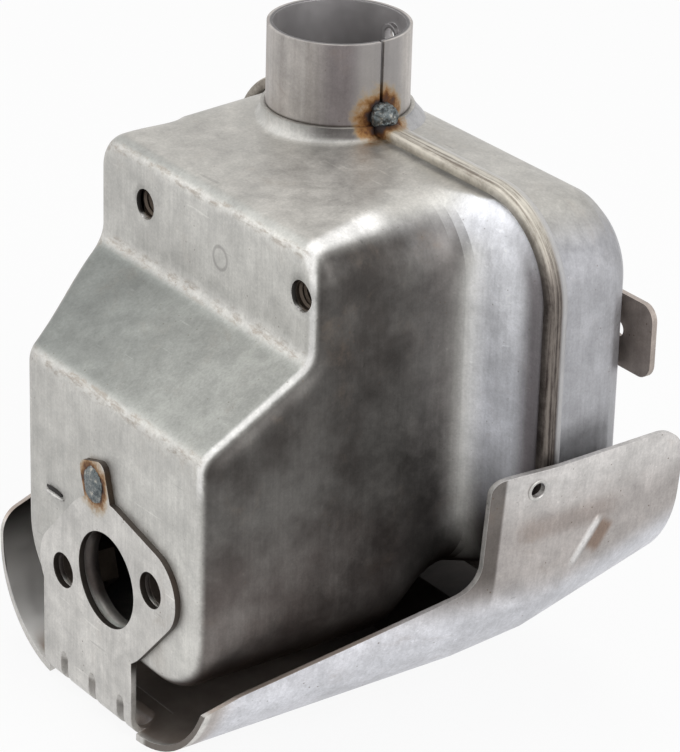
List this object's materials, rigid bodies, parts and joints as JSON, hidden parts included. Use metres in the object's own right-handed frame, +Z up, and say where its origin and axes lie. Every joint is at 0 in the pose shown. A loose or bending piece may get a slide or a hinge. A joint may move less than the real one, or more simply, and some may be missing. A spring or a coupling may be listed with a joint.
{
  "type": "small engine muffler",
  "caption": "Box muffler of two drawn shells in a crimped hem, with a slit outlet pipe and a folded bracket whose two-hole flange bolts to the exhaust port.",
  "frame": {"origin": "centre of the inlet on the outer face of the bracket's mounting flange", "axes": "+Z up along the outlet pipe, -Y out of the inlet towards the engine, +X to the side of the tall wing"},
  "size_m": [0.1342, 0.1193, 0.1555],
  "materials": {
    "drawn_sheet": "dull bare drawn sheet",
    "hemmed_sheet": "dull bare drawn sheet, dark scuffed hem",
    "inner_sheet": "dull bare sheet",
    "nut_steel": "plain machined steel",
    "pipe_steel": "rolled tube with faint lengthwise lines",
    "weld_metal": "rough weld bead with heat tint",
    "bracket_sheet": "dull bare folded sheet"
  },
  "bodies": {
    "root": {"front_shell": "drawn_sheet", "rear_shell": "hemmed_sheet", "inlet_plate": "inner_sheet", "inlet_nuts": "nut_steel", "nut_strip": "nut_steel", "baffle_plate": "inner_sheet", "outlet_pipe": "pipe_steel", "outlet_weld": "weld_metal", "bracket_weld": "weld_metal", "base_bracket": "bracket_sheet", "rear_bracket": "bracket_sheet"}
  },
  "joints": []
}
